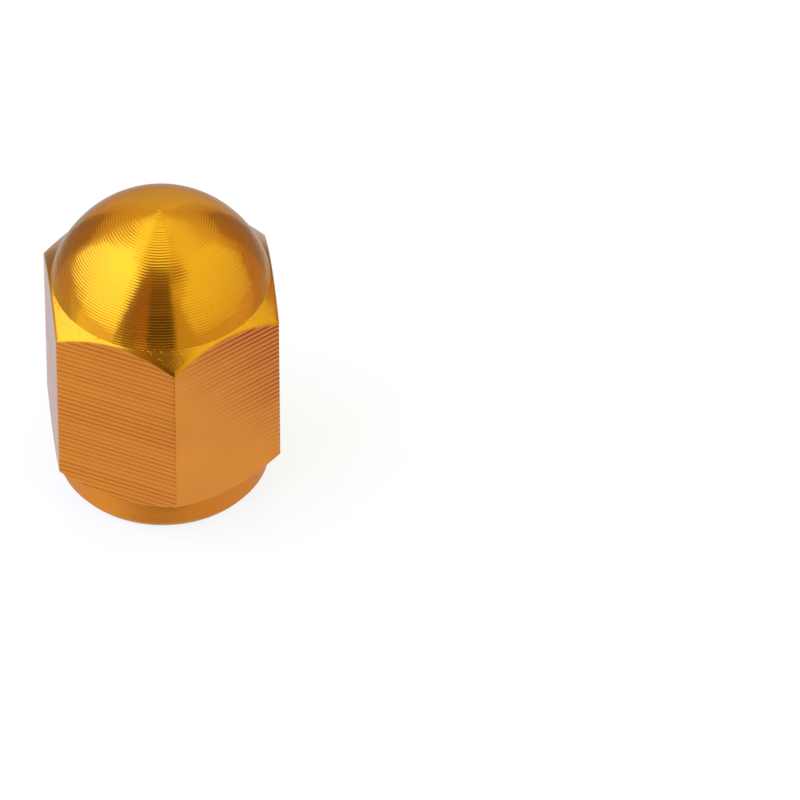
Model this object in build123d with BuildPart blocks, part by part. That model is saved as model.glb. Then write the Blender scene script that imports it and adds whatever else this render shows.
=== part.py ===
from build123d import *

import os
from math import cos, radians, sin, sqrt, tan

# Hexagonal valve cap of a car tyre, turned and milled from one piece of aluminium bar.
# Millimetres, +Z up. The cap stands on its mouth: the origin is the centre of the mouth's flat
# end face, the dome is on top, and two corners of the hexagon lie on the Y axis.

# Threaded bore, for the outside thread of a car tyre valve
thread_diameter = 7.75
thread_pitch = 0.794
bore_depth = 9.0
drill_point_angle = 118.0
countersink_margin = 0.2  # the countersink opens this much past the thread, all round
countersink_angle = 120.0

# Hexagon bar
wall = 1.125  # from the root of the thread to the flats
corner_round = 0.08

# Turned outside, from the mouth up to the tip of the dome
cap_height = 15.1
mouth_bevel_width = 0.2
mouth_bevel_height = 0.3
collar_length = 1.5
collar_inset = 0.22  # from the flats in to the round collar
lower_chamfer_angle = 38.0
upper_chamfer_angle = 45.0
dome_inset = 0.1  # from the flats in to the foot of the dome
dome_height = 3.85
dome_tip_slope = 4.0  # the dome rises to a faint point
stock_allowance = 0.5  # bar left over, which the turning takes away

# Sizes that follow from these
across_flats = thread_diameter + 2 * wall
corner_radius = across_flats / sqrt(3)
thread_depth = 5 / 8 * sqrt(3) / 2 * thread_pitch  # of a 60 degree thread
bore_radius = thread_diameter / 2 - thread_depth
drill_point_height = bore_radius / tan(radians(drill_point_angle / 2))
countersink_radius = thread_diameter / 2 + countersink_margin
countersink_depth = (countersink_radius - bore_radius) / tan(radians(countersink_angle / 2))
collar_radius = across_flats / 2 - collar_inset
dome_foot_radius = across_flats / 2 - dome_inset
dome_foot_height = cap_height - dome_height
turning_radius = corner_radius + stock_allowance
lower_chamfer_end = collar_length + (turning_radius - collar_radius) * tan(radians(lower_chamfer_angle))
upper_chamfer_end = dome_foot_height - (turning_radius - dome_foot_radius) * tan(radians(upper_chamfer_angle))
dome_tip_direction = (cos(radians(dome_tip_slope)), -sin(radians(dome_tip_slope)))

with BuildPart() as valve_cap:
    # The hexagon bar, with its six long corners just broken
    with BuildSketch() as bar_section:
        RegularPolygon(radius=corner_radius, side_count=6, rotation=90)
        fillet(bar_section.vertices(), radius=corner_round)
    extrude(amount=cap_height + stock_allowance)

    # The outside is turned: mouth bevel, collar, lower chamfer, upper chamfer and dome.
    # The two chamfer cones cut the flats in the curves that a hexagon nut has.
    with BuildSketch(Plane.XZ) as turned_section:
        with BuildLine() as turned_outline:
            Polyline(
                (0, cap_height),
                (0, 0),
                (collar_radius - mouth_bevel_width, 0),
                (collar_radius, mouth_bevel_height),
                (collar_radius, collar_length),
                (turning_radius, lower_chamfer_end),
                (turning_radius, upper_chamfer_end),
                (dome_foot_radius, dome_foot_height),
            )
            TangentArc(
                (0, cap_height),
                (dome_foot_radius, dome_foot_height),
                tangent=dome_tip_direction,
            )
        make_face()
    revolve(axis=Axis.Z, mode=Mode.INTERSECT)

    # The blind bore is drilled to the tapping size and countersunk at the mouth
    with BuildSketch(Plane.XZ) as bore_section:
        with BuildLine() as bore_outline:
            Polyline(
                (0, 0),
                (countersink_radius, 0),
                (bore_radius, countersink_depth),
                (bore_radius, bore_depth),
                (0, bore_depth + drill_point_height),
                close=True,
            )
        make_face()
    revolve(axis=Axis.Z, mode=Mode.SUBTRACT)

valve_cap.part.label = "valve_cap"

os.makedirs("parts", exist_ok=True)
export_step(valve_cap.part, "parts/valve_cap.step")
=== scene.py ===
import random
from math import atan, atan2, ceil, cos, pi, radians, sin, sqrt, tan

import bmesh
import bpy
from mathutils import Matrix, Vector


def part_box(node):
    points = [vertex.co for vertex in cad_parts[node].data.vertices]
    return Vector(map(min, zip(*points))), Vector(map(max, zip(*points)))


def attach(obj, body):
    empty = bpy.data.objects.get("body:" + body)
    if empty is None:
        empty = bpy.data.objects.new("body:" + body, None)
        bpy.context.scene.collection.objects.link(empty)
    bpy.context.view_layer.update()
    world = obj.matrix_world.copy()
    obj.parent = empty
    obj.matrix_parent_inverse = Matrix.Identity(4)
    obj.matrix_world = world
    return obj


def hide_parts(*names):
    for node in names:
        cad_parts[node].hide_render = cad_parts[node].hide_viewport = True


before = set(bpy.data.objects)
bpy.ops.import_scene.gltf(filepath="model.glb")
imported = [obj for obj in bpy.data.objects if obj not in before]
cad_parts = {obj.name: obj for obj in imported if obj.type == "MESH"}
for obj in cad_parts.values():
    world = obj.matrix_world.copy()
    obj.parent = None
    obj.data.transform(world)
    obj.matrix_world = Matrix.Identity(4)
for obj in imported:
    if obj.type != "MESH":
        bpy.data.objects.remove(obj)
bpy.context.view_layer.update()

# Camera
# A long lens looks down on the standing cap from just left of its front corner.
# The cap stands left of the picture's middle, so the camera is turned away from it by that much.

mm = 0.001
picture_size = 800
sensor_width = 36.0
aim_point = Vector((0.0, 0.0, 6.335 * mm))
aim_pixel_x = 162.17
aim_pixel_y = 353.28
pixels_per_metre = 22268.7
camera_distance = 565.8 * mm
camera_elevation = radians(44.171)
camera_swing = radians(5.203)
camera_roll = radians(-1.083)
nearest_seen = 10.0 * mm
farthest_seen = 10000.0 * mm

lens_pixels = pixels_per_metre * camera_distance
to_camera = Vector((
    -cos(camera_elevation) * sin(camera_swing),
    -cos(camera_elevation) * cos(camera_swing),
    sin(camera_elevation),
))
level_right = Vector((cos(camera_swing), -sin(camera_swing), 0.0))
level_up = to_camera.cross(level_right)
picture_right = level_right * cos(camera_roll) + level_up * sin(camera_roll)
picture_up = to_camera.cross(picture_right)
facing = Matrix((picture_right, picture_up, to_camera)).transposed()
half_picture = picture_size / 2
aim_ray = Vector((aim_pixel_x - half_picture, half_picture - aim_pixel_y, -lens_pixels))
turn_aside = aim_ray.rotation_difference(Vector((0.0, 0.0, -1.0))).to_matrix()

lens = bpy.data.cameras.new("camera")
lens.sensor_width = sensor_width
lens.lens = lens_pixels / picture_size * sensor_width
lens.clip_start = nearest_seen
lens.clip_end = farthest_seen
camera = bpy.data.objects.new("camera", lens)
camera.matrix_world = Matrix.LocRotScale(
    aim_point + to_camera * camera_distance,
    facing @ turn_aside,
    None,
)
bpy.context.collection.objects.link(camera)
bpy.context.scene.camera = camera


# Hexagon bar
# The cap is one piece of aluminium, cut from a bar with six flats and slightly rounded corners.
# All its rings and rows have their points in the same directions from the axis, closest at the corners.

_, cap_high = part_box("valve_cap")
cap_height = cap_high.z
flat_distance = cap_high.x
corner_count = 6
sector = 2 * pi / corner_count
first_corner = pi / 2
corner_round = 0.08 * mm
corner_centre = (flat_distance - corner_round) / cos(sector / 2)
flat_half_width = (flat_distance - corner_round) * tan(sector / 2)
corner_reach = sector / 2 - atan(flat_half_width / flat_distance)
flat_steps = 20


def bar_radius(angle):
    """How far the bar's skin stands from the axis in that direction."""
    from_corner = abs((angle - first_corner + sector / 2) % sector - sector / 2)
    if from_corner < corner_reach:
        across = corner_centre * sin(from_corner)
        return corner_centre * cos(from_corner) + sqrt(corner_round ** 2 - across ** 2)
    return flat_distance / cos(sector / 2 - from_corner)


columns = []
for flat in range(corner_count):
    corner = first_corner + flat * sector
    steps = [0.0, corner_reach / 2, corner_reach]
    for step in range(1, flat_steps):
        along = flat_half_width * (2 * step / flat_steps - 1)
        steps.append(sector / 2 + atan(along / flat_distance))
    steps += [sector - corner_reach, sector - corner_reach / 2]
    columns += [corner + step for step in steps]
columns_per_flat = len(columns) // corner_count
column_radii = [bar_radius(angle) for angle in columns]


# Dome and upper chamfer
# The lathe turns the free end of the bar to a dome, and takes the hexagon's corners off below it.
# The tool's feed leaves rings round the axis and a torn pit at the tip, where it hardly cuts.

random.seed(11)
dome_height = 3.85 * mm
dome_inset = 0.1 * mm
dome_tip_slope = radians(4.0)
dome_feed = 0.128 * mm
dome_feed_spread = 0.04
dome_mark_depth = 0.008 * mm
mark_depth_spread = 0.25
tip_gain = 0.3  # the marks are this much deeper near the tip, where the tool cuts slowest
pit_radius = 0.08 * mm
pit_depth = 0.02 * mm
pit_hollow = 0.5
rings_start = 1.5 * pit_radius
upper_chamfer_angle = radians(45.0)
chamfer_steps = 4
edge_break = 0.03 * mm

# Each profile gives places across one mark and the share of its depth that the tool reaches there.
ridge_profile = ((0.0, 0.0), (0.09, 0.55), (0.24, 1.0), (0.62, 0.5))
pit_profile = ((0.45, 0.8), (0.75, 0.35), (1.0, 0.0), (1.3, 0.5))

dome_foot_radius = flat_distance - dome_inset
dome_foot_height = cap_height - dome_height
chord = Vector((dome_foot_radius, -dome_height))
tip_normal = Vector((sin(dome_tip_slope), cos(dome_tip_slope)))
dome_radius = -chord.length_squared / (2 * chord.dot(tip_normal))
dome_centre = Vector((0.0, cap_height)) - dome_radius * tip_normal
dome_end_slope = atan2(dome_foot_radius - dome_centre.x, dome_foot_height - dome_centre.y)
dome_length = dome_radius * (dome_end_slope - dome_tip_slope)

dome_finish, chamfer_finish, flat_finish, collar_finish, mouth_finish, thread_finish = range(6)
cap = bmesh.new()
hollow_layer = cap.verts.layers.float.new("hollow")


def point(angle, radius, height, hollow=0.0):
    """A new point of the cap's skin. Its hollow says how far down in a tool mark it lies: 1 is a usual
    mark's full depth. On a chamfer it says how near the point is to the rim, where the tool tears most.
    On the collar it also holds the shade painted under the hexagon."""
    vertex = cap.verts.new((radius * cos(angle), radius * sin(angle), height))
    vertex[hollow_layer] = hollow
    return vertex


def ring(radius, height, hollow=0.0):
    """One turn of points round the axis, closed on its first point."""
    points = [point(angle, radius, height, hollow) for angle in columns]
    return points + points[:1]


def skin(before, after, finish):
    """Faces between two rings, where the skin runs from the tip down the outside and up into the bore."""
    for column in range(len(columns)):
        corners = [after[column], after[column + 1], before[column + 1], before[column]]
        outline = [p for place, p in enumerate(corners) if p is not corners[place - 1]]
        if len(outline) > 2:
            face = cap.faces.new(outline)
            face.material_index = finish
            face.smooth = True


def crisp(points):
    """Keeps the edges along a ring sharp."""
    for start, end in zip(points, points[1:]):
        edge = cap.edges.get((start, end)) if start is not end else None
        if edge:
            edge.smooth = False


def cut_marks(start, end, feed, feed_spread, depth, profile):
    """Rows of a cut: their places, how deep the tool went there, and the share of a usual mark's depth."""
    marks = []
    place = start
    while place < end:
        width = feed * random.uniform(1 - feed_spread, 1 + feed_spread)
        strength = random.uniform(1 - mark_depth_spread, 1 + mark_depth_spread)
        for share, hollow in profile:
            marks.append((place + width * share, depth * strength * hollow, strength * hollow))
        place += width
    return [mark for mark in marks if mark[0] < end]


def dome_ring(along, depth, hollow):
    """A ring of the dome, by its distance from the tip along the surface and the depth of the tool mark."""
    slope = dome_tip_slope + along / dome_radius
    reach = dome_radius - depth
    return ring(dome_centre.x + reach * sin(slope), dome_centre.y + reach * cos(slope), hollow)


tip = point(0.0, 0.0, cap_height - pit_depth)
outside = [tip] * (len(columns) + 1)
dome_rows = [(pit_radius * share, pit_depth * deep, pit_hollow) for share, deep in pit_profile]
dome_marks = cut_marks(
    rings_start, dome_length, dome_feed, dome_feed_spread, dome_mark_depth, ridge_profile
)
for along, depth, hollow in dome_marks:
    dome_rows.append((along, depth * (1 + tip_gain * (1 - along / dome_length)), hollow))
for along, depth, hollow in dome_rows:
    next_ring = dome_ring(along, depth, hollow)
    skin(outside, next_ring, dome_finish)
    if hollow == 0.0:
        crisp(next_ring)
    outside = next_ring
dome_foot = ring(dome_foot_radius, dome_foot_height, hollow=1.0)
skin(outside, dome_foot, dome_finish)
crisp(dome_foot)


def upper_chamfer_height(radius):
    """Height of the upper chamfer's cone at that radius."""
    return dome_foot_height - (radius - dome_foot_radius) * tan(upper_chamfer_angle)


def chamfer(rim, rim_radius, height_at, edge):
    """Rows of a turned cone, from its round rim out to where it runs out on the flats and corners.
    It stops short of the bar's skin by the edge's width."""
    rows = [rim]
    for step in range(1, chamfer_steps + 1):
        row = []
        for angle, bar in zip(columns, column_radii):
            radius = rim_radius + (bar - edge - rim_radius) * step / chamfer_steps
            row.append(point(angle, radius, height_at(radius), 1 - step / chamfer_steps))
        rows.append(row + row[:1])
    return rows


upper_chamfer = chamfer(dome_foot, dome_foot_radius, upper_chamfer_height, edge_break)
for before, after in zip(upper_chamfer, upper_chamfer[1:]):
    skin(before, after, chamfer_finish)


# Flats
# What the lathe leaves of the hexagon: six flats with a bowed edge above and below. A spinning cutter head,
# fed along the bar, leaves a shallow hollow with each turn, so fine lines run square to the axis.
# They are a little uneven in pitch and depth, and each flat has its own.

random.seed(5)
flat_feed = 0.27 * mm
flat_feed_spread = 0.07
flat_mark_depth = 0.012 * mm
lower_chamfer_angle = radians(38.0)
collar_length = 1.5 * mm
collar_inset = 0.22 * mm
collar_radius = flat_distance - collar_inset
snug = 0.012 * mm  # a row that comes this close to an edge ends in it
groove_profile = ((0.0, 1.0), (0.2, 0.65), (0.4, 0.1), (0.6, 0.1), (0.8, 0.65))


def lower_chamfer_height(radius):
    """Height of the lower chamfer's cone at that radius."""
    return collar_length + (radius - collar_radius) * tan(lower_chamfer_angle)


flat_tops = [upper_chamfer_height(radius) - edge_break for radius in column_radii]
flat_feet = [lower_chamfer_height(radius) for radius in column_radii]
flat_top = [point(*place) for place in zip(columns, column_radii, flat_tops)]
flat_top += flat_top[:1]
skin(upper_chamfer[-1], flat_top, chamfer_finish)
# Its hollow of 1 paints the collar's top darkest, as shade under the hexagon, and raises burrs on the lower
# chamfer's rim.
collar_top = ring(collar_radius, collar_length, hollow=1.0)
lower_chamfer = chamfer(collar_top, collar_radius, lower_chamfer_height, edge=0.0)
lower_chamfer.reverse()
flat_foot = lower_chamfer[0]

# How hard the cutter bit each flat: in its middle, and what it gained towards the right and the top.
# The bite deepens the marks and darkens their painted shade alike. On the fourth flat it paints the lines
# much darker towards its upper right, as a painted reflection of something dark beside the cap.
flat_bites_and_shades = (
    (1.0, 0.1, 0.0),
    (0.8, 0.0, 0.2),
    (1.1, 0.0, 0.0),
    (0.4, 2.6, 2.6),
    (1.0, -0.3, 0.2),
    (0.9, 0.2, -0.2),
)
faintest_bite = 0.12
deepest_bite = 2.3
corner_nick = 1.8
deepest_nick = 1.4
flat_middle = (max(flat_tops) + min(flat_feet)) / 2
flat_length = max(flat_tops) - min(flat_feet)


def bite(column, height):
    """How hard the cutter bit there, as a share of a usual bite, which also sets how dark the marks'
    painted shade is. On the rounded corners it bit harder.
    """
    middle, gain_right, gain_up = flat_bites_and_shades[column // columns_per_flat]
    place = column % columns_per_flat
    right = place / columns_per_flat - 0.5
    up = (height - flat_middle) / flat_length
    strength = min(deepest_bite, max(faintest_bite, middle + gain_right * right + gain_up * up))
    on_corner = place in (0, 1, columns_per_flat - 1)
    return min(deepest_nick, strength * corner_nick) if on_corner else strength


feed_rows = cut_marks(
    -max(flat_tops), -min(flat_feet), flat_feed, flat_feed_spread, flat_mark_depth, groove_profile
)
outside = flat_top
for row_place, depth, hollow in feed_rows[1:]:
    height = -row_place
    row = []
    for column, angle in enumerate(columns):
        if height > flat_tops[column] - snug:
            row.append(flat_top[column])
        elif height < flat_feet[column] + snug:
            row.append(flat_foot[column])
        else:
            strength = bite(column, height)
            row.append(point(angle, column_radii[column] - depth * strength, height, hollow * strength))
    row += row[:1]
    skin(outside, row, flat_finish)
    outside = row
skin(outside, flat_foot, flat_finish)
crisp(flat_foot)


# Collar and mouth
# Below the hexagon the lathe turns a short round collar, bevels its end and faces it flat.
# A wide countersink leads into the thread. Shade is painted into the collar's colour under the hexagon,
# deepest under its corners, and faintly into its tool marks.

random.seed(23)
collar_feed = 0.13 * mm
collar_feed_spread = 0.1
collar_mark_depth = 0.0035 * mm
collar_mark_shade = 0.25
shade_width = 0.08 * mm
shade_per_overhang = 0.55
bevel_width = 0.2 * mm
bevel_height = 0.3 * mm
thread_diameter = 7.75 * mm
countersink_margin = 0.2 * mm
countersink_slope = tan(radians(60.0))

for before, after in zip(lower_chamfer, lower_chamfer[1:]):
    skin(before, after, chamfer_finish)
outside = collar_top
crisp(outside)
collar_rows = cut_marks(
    -collar_length, -bevel_height, collar_feed, collar_feed_spread, collar_mark_depth, ridge_profile
)
for row_place, depth, hollow in collar_rows[1:]:
    next_ring = []
    for angle, bar in zip(columns, column_radii):
        # Shade under the hexagon is painted into the collar's colour, reaching further down under the
        # corners, where the hexagon overhangs more.
        reach = shade_width + shade_per_overhang * (bar - flat_distance)
        under_edge = max(0.0, 1 - (row_place + collar_length) / reach)
        shade = max(under_edge, collar_mark_shade * hollow)
        next_ring.append(point(angle, collar_radius - depth, -row_place, shade))
    next_ring += next_ring[:1]
    skin(outside, next_ring, collar_finish)
    if hollow == 0.0:
        crisp(next_ring)
    outside = next_ring
bevel_top = ring(collar_radius, bevel_height)
skin(outside, bevel_top, collar_finish)
bevel_foot = ring(collar_radius - bevel_width, 0.0)
skin(bevel_top, bevel_foot, mouth_finish)
countersink_radius = thread_diameter / 2 + countersink_margin
face_middle = ring((collar_radius - bevel_width + countersink_radius) / 2, 0.0)
skin(bevel_foot, face_middle, mouth_finish)
countersink_edge = ring(countersink_radius, 0.0)
skin(face_middle, countersink_edge, mouth_finish)
thread_mouth_height = countersink_margin / countersink_slope
thread_mouth = ring(thread_diameter / 2, thread_mouth_height)
skin(countersink_edge, thread_mouth, mouth_finish)


# Thread and blind bore
# The bore is drilled, which leaves a pointed bottom, and tapped with a fine right-hand thread.
# The thread's flanks stand at 60 degrees, and it runs out before the drill's point.

thread_pitch = 0.794 * mm
thread_runout = 1.25 * thread_pitch
thread_depth = 5 / 8 * sqrt(3) / 2 * thread_pitch
bore_depth = 9.0 * mm
bore_radius = thread_diameter / 2 - thread_depth
untapped_length = 1.2 * mm
thread_end_height = bore_depth - untapped_length
drill_half_angle = radians(59.0)
crest_share = 1 / 8
flank_share = 5 / 16
row_shares = (0, 0.0625, 0.125, 0.229, 0.333, 0.4375, 0.5, 0.5625, 0.667, 0.771, 0.875, 0.9375)


def thread_cut(share):
    """How deep the thread is cut, from 0 at the crests to 1 at the root, by the share of its pitch."""
    return min(1.0, max(0.0, (0.5 - abs(share - 0.5) - crest_share) / flank_share))


def thread_radius(cut, height):
    """Radius of the tapped bore; the thread fades out at its end and the countersink opens its mouth."""
    fade = min(1.0, max(0.0, (thread_end_height - height) / thread_runout))
    countersink = countersink_radius - height * countersink_slope
    return max(bore_radius + thread_depth * cut * fade, countersink)


thread_end = ring(bore_radius, thread_end_height)
turns = ceil(thread_end_height / thread_pitch)
thread_rows = []
for turn in range(-1, turns + 1):
    for share in row_shares:
        cut = thread_cut(share)
        row = []
        for column, angle in enumerate(columns):
            height = (turn + share + (angle - first_corner) / (2 * pi)) * thread_pitch
            if height < thread_mouth_height + snug:
                row.append(thread_mouth[column])
            elif height > thread_end_height - snug:
                row.append(thread_end[column])
            else:
                # A point's hollow is its cut, so the thread's colour is painted darker towards its roots,
                # as their shade.
                row.append(point(angle, thread_radius(cut, height), height, cut))
        thread_rows.append(row)
for number, row in enumerate(thread_rows):
    next_turn = number + len(row_shares)
    row.append(thread_rows[next_turn][0] if next_turn < len(thread_rows) else thread_end[0])
inside = thread_mouth
for row in thread_rows:
    skin(inside, row, thread_finish)
    inside = row
bore_foot = ring(bore_radius, bore_depth)
skin(thread_end, bore_foot, thread_finish)
drill_tip = point(0.0, 0.0, bore_depth + bore_radius / tan(drill_half_angle))
skin(bore_foot, [drill_tip] * (len(columns) + 1), thread_finish)

sharp_angle = radians(32.0)
for edge in cap.edges:
    if edge.calc_face_angle(0.0) > sharp_angle:
        edge.smooth = False


# Anodised finish
# The whole cap is anodised and dyed gold: a thin clear dyed skin over bright metal.
# It follows every tool mark, and a few dark pits show where the metal had inclusions.

streak_pitch = 0.06 * mm
streak_breaks = 1.2  # how often a streak changes on its way round, in each radian
streak_detail = 3.0
roughness_spread = 0.4
cloud_scale = 0.35 / mm
cloud_detail = 5.0
spot_scale = 0.75 / mm
sound_share = 0.6  # of the places where a pit could be
spot_core = 0.02
spot_rim = 0.05
spot_stain = 0.8
burr_scale = 9.0 / mm
burr_detail = 1.0
burr_level = 0.63  # only grains above this stand up as burrs
palest_dye = 1.08
darkest_dye = 0.88
# How much the painted shade in the hollows and the stain in the pits darken the colour.
shade_and_stain_shares = (0.52, 0.19, 0.03)
quarter_turn = 0.25
skin_index = 1.2
skin_roughness = 0.3


def anodised(
    name, colour, roughness, grain, across_radius, across_height, streak_depth, grit, hollow_painted_shade,
    clear_skin=0.8, edge_on=(0.43, 0.43, 0.46, 1.0),
):
    """A gold anodised finish with fine tool streaks that run round the axis.
    The streaks change across the radius and the height by the two shares given for them.
    In the tool marks, grit raises burrs, and the hollow shade darkens the colour there as painted shade.
    The clear skin is a coat over the metal, and edge_on tints what the metal mirrors at a flat angle."""
    material = bpy.data.materials.new(name)
    material.use_nodes = True
    tree = material.node_tree
    shader = tree.nodes["Principled BSDF"]

    def node(kind, **settings):
        made = tree.nodes.new(kind)
        for setting, value in settings.items():
            setattr(made, setting, value)
        return made

    def feed(socket, source):
        if hasattr(source, "links"):
            tree.links.new(source, socket)
        else:
            socket.default_value = source

    def maths(operation, *terms):
        made = node("ShaderNodeMath", operation=operation)
        for socket, term in zip(made.inputs, terms):
            feed(socket, term)
        return made.outputs[0]

    def between(value, low, high, start=0.0, end=1.0):
        made = node("ShaderNodeMapRange")
        feed(made.inputs["Value"], value)
        made.inputs["From Min"].default_value = start
        made.inputs["From Max"].default_value = end
        made.inputs["To Min"].default_value = low
        made.inputs["To Max"].default_value = high
        return made.outputs["Result"]

    def blend(share, first, second):
        made = node("ShaderNodeMix", data_type="RGBA")
        feed(made.inputs[0], share)
        for socket, shade in zip(made.inputs[6:8], (first, second)):
            feed(socket, shade)
        return made.outputs[2]

    def noise(vector, scale, detail):
        made = node("ShaderNodeTexNoise")
        feed(made.inputs["Vector"], vector)
        made.inputs["Scale"].default_value = scale
        made.inputs["Detail"].default_value = detail
        return made.outputs["Fac"]

    # Streaks of the tool, drawn out round the axis
    place = node("ShaderNodeTexCoord").outputs["Object"]
    split = node("ShaderNodeSeparateXYZ")
    feed(split.inputs[0], place)
    level = node("ShaderNodeCombineXYZ")
    feed(level.inputs[0], split.outputs[0])
    feed(level.inputs[1], split.outputs[1])
    distance = node("ShaderNodeVectorMath", operation="LENGTH")
    feed(distance.inputs[0], level.outputs[0])
    direction = node("ShaderNodeVectorMath", operation="NORMALIZE")
    feed(direction.inputs[0], level.outputs[0])
    across = maths(
        "MULTIPLY_ADD",
        split.outputs[2],
        across_height / streak_pitch,
        maths("MULTIPLY", distance.outputs["Value"], across_radius / streak_pitch),
    )
    lift = node("ShaderNodeCombineXYZ")
    feed(lift.inputs[2], across)
    along = node("ShaderNodeVectorMath", operation="MULTIPLY_ADD")
    feed(along.inputs[0], direction.outputs[0])
    along.inputs[1].default_value = (streak_breaks, streak_breaks, 0.0)
    feed(along.inputs[2], lift.outputs[0])
    streak = noise(along.outputs[0], 1.0, streak_detail)
    rough_low = roughness * (1 - roughness_spread)
    rough_high = roughness * (1 + roughness_spread)
    feed(shader.inputs["Roughness"], between(streak, rough_low, rough_high))

    # Dye: faintly cloudy and stained in the pits, with shade painted in by the hollow: in tool marks and
    # under the hexagon
    spots = node("ShaderNodeTexVoronoi")
    feed(spots.inputs["Vector"], place)
    spots.inputs["Scale"].default_value = spot_scale
    spot_kind = node("ShaderNodeSeparateColor")
    feed(spot_kind.inputs[0], spots.outputs["Color"])
    pit = maths(
        "MULTIPLY",
        maths("GREATER_THAN", spot_kind.outputs[0], sound_share),
        between(spots.outputs["Distance"], 1.0, 0.0, spot_core, spot_rim),
    )
    pale = [min(1.0, part * palest_dye) for part in colour] + [1.0]
    dark = [part * darkest_dye for part in colour] + [1.0]
    deep = [part * shade for part, shade in zip(colour, shade_and_stain_shares)] + [1.0]
    dyed = blend(noise(place, cloud_scale, cloud_detail), dark, pale)
    hollow = node("ShaderNodeAttribute", attribute_name="hollow").outputs["Fac"]
    shaded = blend(maths("MULTIPLY", hollow, hollow_painted_shade), dyed, deep)
    spotted = blend(maths("MULTIPLY", pit, spot_stain), shaded, deep)
    feed(shader.inputs["Base Color"], spotted)

    # Relief of the streaks, burrs and pits
    grains = noise(place, burr_scale, burr_detail)
    specks = maths("MAXIMUM", maths("SUBTRACT", grains, burr_level), 0.0)
    burrs = maths("MULTIPLY", specks, hollow)
    gritty = maths("MULTIPLY_ADD", burrs, grit, streak)
    bump = node("ShaderNodeBump")
    bump.inputs["Strength"].default_value = 1.0
    bump.inputs["Distance"].default_value = streak_depth
    feed(bump.inputs["Height"], maths("SUBTRACT", gritty, pit))
    feed(shader.inputs["Normal"], bump.outputs["Normal"])
    round_axis = node("ShaderNodeTangent", direction_type="RADIAL", axis="Z")
    feed(shader.inputs["Tangent"], round_axis.outputs["Tangent"])

    shader.inputs["Metallic"].default_value = 1.0
    shader.inputs["Anisotropic"].default_value = grain
    shader.inputs["Anisotropic Rotation"].default_value = quarter_turn
    shader.inputs["Specular Tint"].default_value = edge_on
    shader.inputs["Coat Weight"].default_value = clear_skin
    shader.inputs["Coat IOR"].default_value = skin_index
    shader.inputs["Coat Roughness"].default_value = skin_roughness
    return material


bright_gold = (0.63, 0.29, 0.006)
deep_gold = (0.69, 0.25, 0.016)
# The hollow shade paints shade into the flats' grooves, the collar's marks and its top under the hexagon,
# and the thread's roots.
finishes = [
    anodised("turned_dome", bright_gold, roughness=0.15, grain=0.3, across_radius=1.0, across_height=-1.0,
             streak_depth=0.0003 * mm, grit=0.2, hollow_painted_shade=0.0),
    anodised("cut_chamfer", bright_gold, roughness=0.24, grain=0.3, across_radius=1.0, across_height=-0.4,
             streak_depth=0.0005 * mm, grit=200.0, hollow_painted_shade=0.0, clear_skin=1.0),
    anodised("milled_flat", deep_gold, roughness=0.34, grain=0.5, across_radius=0.0, across_height=1.0,
             streak_depth=0.0006 * mm, grit=0.5, hollow_painted_shade=0.5, edge_on=(0.54, 0.72, 0.92, 1.0)),
    anodised("turned_collar", deep_gold, roughness=0.5, grain=0.8, across_radius=0.0, across_height=1.0,
             streak_depth=0.0004 * mm, grit=0.5, hollow_painted_shade=0.7),
    anodised("faced_mouth", bright_gold, roughness=0.22, grain=0.5, across_radius=1.0, across_height=0.3,
             streak_depth=0.0006 * mm, grit=0.5, hollow_painted_shade=0.0),
    anodised("tapped_thread", bright_gold, roughness=0.18, grain=0.3, across_radius=0.3, across_height=1.0,
             streak_depth=0.0006 * mm, grit=0.5, hollow_painted_shade=0.35),
]

cap_mesh = bpy.data.meshes.new("anodised_cap")
cap.to_mesh(cap_mesh)
cap.free()
for finish in finishes:
    cap_mesh.materials.append(finish)
anodised_cap = bpy.data.objects.new("anodised_cap", cap_mesh)
bpy.context.collection.objects.link(anodised_cap)
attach(anodised_cap, "root")
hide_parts("valve_cap")


# Floor
# A round sheet of plain white paper just under the cap's mouth.
# It is bright enough to look white by itself, with the cap's soft shadow on it.

floor_radius = 400.0 * mm
floor_segments = 96
floor_gap = 0.01 * mm
floor_colour = (0.8, 0.87, 0.96, 1.0)
own_white = 0.8
sheet = bmesh.new()
bmesh.ops.create_circle(sheet, cap_ends=True, segments=floor_segments, radius=floor_radius)
floor_mesh = bpy.data.meshes.new("paper_floor")
sheet.to_mesh(floor_mesh)
sheet.free()
paper = bpy.data.materials.new("white_paper")
paper.use_nodes = True
paper_nodes = paper.node_tree.nodes
paper_links = paper.node_tree.links
paper_nodes.remove(paper_nodes["Principled BSDF"])
matt = paper_nodes.new("ShaderNodeBsdfDiffuse")
matt.inputs["Color"].default_value = floor_colour
glow = paper_nodes.new("ShaderNodeEmission")
glow.inputs["Strength"].default_value = 1.0
ray = paper_nodes.new("ShaderNodeLightPath")
seen = ray.outputs["Is Camera Ray"]
for way in ("Is Glossy Ray", "Is Transmission Ray"):
    either = paper_nodes.new("ShaderNodeMath")
    either.operation = "MAXIMUM"
    paper_links.new(seen, either.inputs[0])
    paper_links.new(ray.outputs[way], either.inputs[1])
    seen = either.outputs[0]
white_share = paper_nodes.new("ShaderNodeMath")
white_share.operation = "MULTIPLY"
paper_links.new(seen, white_share.inputs[0])
white_share.inputs[1].default_value = own_white
paper_mix = paper_nodes.new("ShaderNodeMixShader")
paper_links.new(white_share.outputs[0], paper_mix.inputs[0])
paper_links.new(matt.outputs[0], paper_mix.inputs[1])
paper_links.new(glow.outputs[0], paper_mix.inputs[2])
paper_links.new(paper_mix.outputs[0], paper_nodes["Material Output"].inputs["Surface"])
floor_mesh.materials.append(paper)
paper_floor = bpy.data.objects.new("paper_floor", floor_mesh)
paper_floor.location.z = -floor_gap
bpy.context.collection.objects.link(paper_floor)


# Light
# Large diffusing panels stand left, right and overhead in a warm, pale room, and a small one low down left.
# Cards, most of them brown, stand close round the cap and show only as reflections:
# dark ones in front, paler ones behind.

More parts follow.
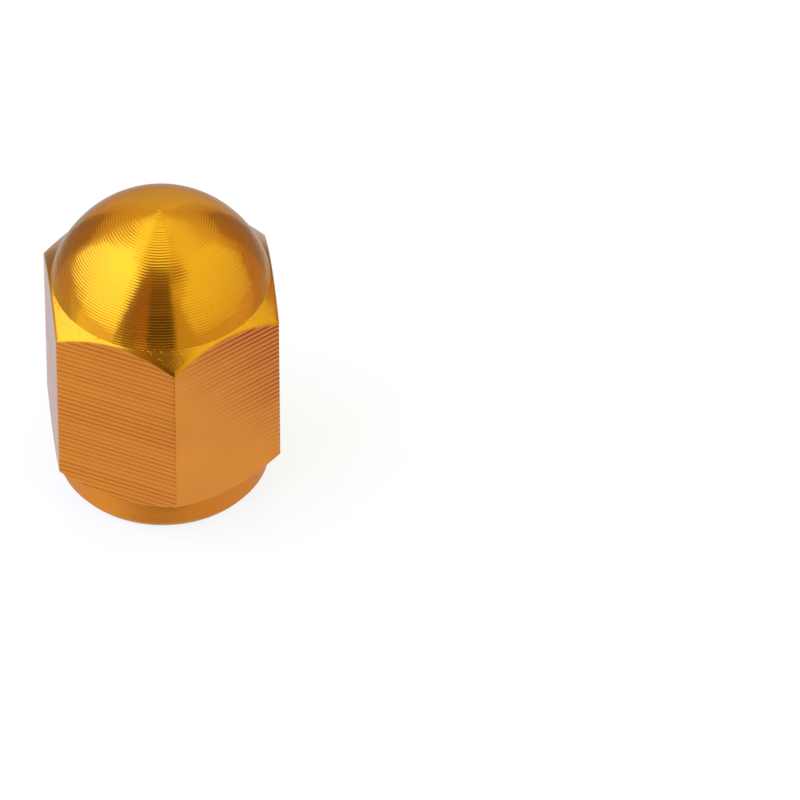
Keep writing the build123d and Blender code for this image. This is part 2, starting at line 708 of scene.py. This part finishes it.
tent = 100.0 * mm
tent_height = 2.1 * tent
cool_white = (0.7, 1.0, 1.9)
soft_white = (0.62, 1.0, 0.85)
warm_white = (1.0, 1.0, 0.6)
towards_camera = -Vector((sin(camera_swing), cos(camera_swing), 0.0))
upwards = Vector((0.0, 0.0, 1.0))


def studio(right, near, height):
    """A place in the room, as it lies from the camera: to the right, nearer, and up."""
    return level_right * right + towards_camera * near + upwards * height


def panel(name, middle, to_side, to_end, brightness, colour):
    """A flat diffusing panel: its middle, and the ways from there to one of its sides and to one end."""
    lamp = bpy.data.lights.new(name, "AREA")
    lamp.shape = "RECTANGLE"
    lamp.size = 2 * to_side.length
    lamp.size_y = 2 * to_end.length
    lamp.energy = brightness * pi * lamp.size * lamp.size_y
    lamp.color = colour
    holder = bpy.data.objects.new(name, lamp)
    face_back = to_side.normalized().cross(to_end.normalized())
    turned = Matrix((to_side.normalized(), to_end.normalized(), face_back)).transposed()
    holder.matrix_world = Matrix.LocRotScale(middle, turned, None)
    holder.visible_camera = False
    bpy.context.collection.objects.link(holder)


panel(
    "left_panel",
    middle=studio(-tent, 0.31 * tent, 1.53 * tent),
    to_side=studio(0.0, 0.97 * tent, 0.0),
    to_end=studio(0.0, 0.0, 1.26 * tent),
    brightness=1.7,
    colour=cool_white,
)
panel(
    "left_low_panel",
    middle=studio(-0.36 * tent, 0.27 * tent, 0.1 * tent),
    to_side=studio(0.0, 0.22 * tent, 0.0),
    to_end=studio(0.0, 0.0, 0.1 * tent),
    brightness=0.42,
    colour=warm_white,
)
panel(
    "right_panel",
    middle=studio(tent, 0.97 * tent, 1.1 * tent),
    to_side=studio(0.0, -1.53 * tent, 0.0),
    to_end=studio(0.0, 0.0, tent),
    brightness=0.51,
    colour=soft_white,
)
panel(
    "top_left_panel",
    middle=studio(-0.23 * tent, -0.45 * tent, tent_height),
    to_side=studio(0.47 * tent, 0.0, 0.0),
    to_end=studio(0.0, -1.2 * tent, 0.0),
    brightness=0.85,
    colour=soft_white,
)
panel(
    "top_right_panel",
    middle=studio(0.62 * tent, -0.45 * tent, tent_height),
    to_side=studio(0.38 * tent, 0.0, 0.0),
    to_end=studio(0.0, -1.2 * tent, 0.0),
    brightness=0.36,
    colour=soft_white,
)

card_distance = 34.0
card_steps = 24


def card(name, first, last, foot, top, tone, lean=0.0, distance=card_distance):
    """A curved card that stands round the cap, seen only as a reflection.
    It runs between two directions, in degrees from the camera's side round by the right.
    Its foot, top and distance are in millimetres. Its first side may lean, by some degrees at the top."""
    leaf = bmesh.new()
    feet = []
    tops = []
    for step in range(card_steps + 1):
        for rim, start, height in ((feet, first, foot), (tops, first + lean, top)):
            turn = radians(start + (last - start) * step / card_steps)
            way = studio(sin(turn), cos(turn), 0.0) * (distance * mm)
            rim.append(leaf.verts.new(way + upwards * (height * mm)))
    for step in range(card_steps):
        leaf.faces.new((feet[step], feet[step + 1], tops[step + 1], tops[step]))
    leaf_mesh = bpy.data.meshes.new(name)
    leaf.to_mesh(leaf_mesh)
    leaf.free()
    board = bpy.data.materials.new(name)
    board.use_nodes = True
    board_shader = board.node_tree.nodes["Principled BSDF"]
    board_shader.inputs["Base Color"].default_value = (*tone, 1.0)
    board_shader.inputs["Roughness"].default_value = 1.0
    board_shader.inputs["Specular IOR Level"].default_value = 0.0
    leaf_mesh.materials.append(board)
    holder = bpy.data.objects.new(name, leaf_mesh)
    holder.visible_camera = False
    holder.visible_diffuse = False
    holder.visible_shadow = False
    bpy.context.collection.objects.link(holder)


card("front_foot_card", 12.0, -14.5, 0.0, 11.5, (0.52, 0.345, 0.31))
card("front_card", 12.0, -14.5, 11.5, 33.0, (0.12, 0.09, 0.088), lean=1.5)
card("front_middle_card", 13.5, -14.5, 33.0, 73.0, (0.27, 0.187, 0.155), lean=4.0)
card("front_left_card", -35.3, -14.5, 0.0, 73.0, (0.4, 0.255, 0.2), lean=-3.5)
card("rust_foot_card", -24.0, -13.5, 0.0, 11.0, (0.7, 0.41, 0.4), distance=32.8)
card("front_top_card", -38.5, 18.0, 73.0, 145.0, (0.46, 0.31, 0.22))
card("right_arm_card", 60.0, 18.0, 69.0, 126.0, (0.42, 0.295, 0.21))
card("front_low_card", -12.0, 13.0, 0.0, 7.5, (0.24, 0.165, 0.12), distance=14.0)
card("left_low_card", -31.0, -13.0, 0.0, 4.5, (0.34, 0.22, 0.16), distance=24.0)
card("front_right_card", 36.0, 10.0, 0.0, 40.0, (0.68, 0.53, 0.42), lean=-15.0, distance=34.3)
card("rust_card", -23.0, -13.5, 0.0, 34.0, (0.46, 0.235, 0.17), distance=33.0)
card("left_edge_card", -43.5, -35.3, 10.0, 46.0, (0.46, 0.32, 0.22), lean=7.7)
card("near_right_card", 57.0, 95.0, 0.0, 4.0, (0.85, 0.85, 0.85), distance=13.5)
card("right_card", 30.0, 100.0, 0.0, 16.0, (0.77, 0.52, 0.41), distance=34.2)
card("right_rust_card", 82.0, 126.0, 0.0, 20.0, (0.58, 0.33, 0.29), lean=28.0)
card("back_right_card", 126.0, 150.0, 0.0, 30.0, (0.44, 0.275, 0.22))
card("back_card", 150.0, 210.0, 4.0, 14.0, (0.9, 0.68, 0.53))
card("back_top_right_card", 152.0, 180.0, 14.0, 42.0, (0.9, 0.8, 0.66), lean=20.0)
card("back_top_left_card", 208.0, 180.0, 14.0, 42.0, (0.9, 0.8, 0.66), lean=-20.0)
card("back_left_card", 210.0, 235.0, 0.0, 25.5, (0.46, 0.3, 0.22))
card("left_card", 280.0, 235.0, 0.0, 15.5, (0.63, 0.45, 0.4), lean=-24.0)

room_low = (0.83, 0.63, 0.46, 1.0)
room_high = (1.06, 0.9, 0.66, 1.0)
ceiling_start = 0.75
surroundings = bpy.data.worlds.new("surroundings")
surroundings.use_nodes = True
room = surroundings.node_tree
background = room.nodes["Background"]
background.inputs["Strength"].default_value = 1.0
outlook = room.nodes.new("ShaderNodeTexCoord")
outlook_parts = room.nodes.new("ShaderNodeSeparateXYZ")
room.links.new(outlook.outputs["Generated"], outlook_parts.inputs[0])
ceiling = room.nodes.new("ShaderNodeMapRange")
ceiling.interpolation_type = "SMOOTHSTEP"
room.links.new(outlook_parts.outputs[2], ceiling.inputs["Value"])
ceiling.inputs["From Max"].default_value = ceiling_start
room_shade = room.nodes.new("ShaderNodeMix")
room_shade.data_type = "RGBA"
room.links.new(ceiling.outputs["Result"], room_shade.inputs[0])
room_shade.inputs[6].default_value = room_low
room_shade.inputs[7].default_value = room_high
room.links.new(room_shade.outputs[2], background.inputs["Color"])
bpy.context.scene.world = surroundings
bpy.context.scene.view_settings.view_transform = "Standard"
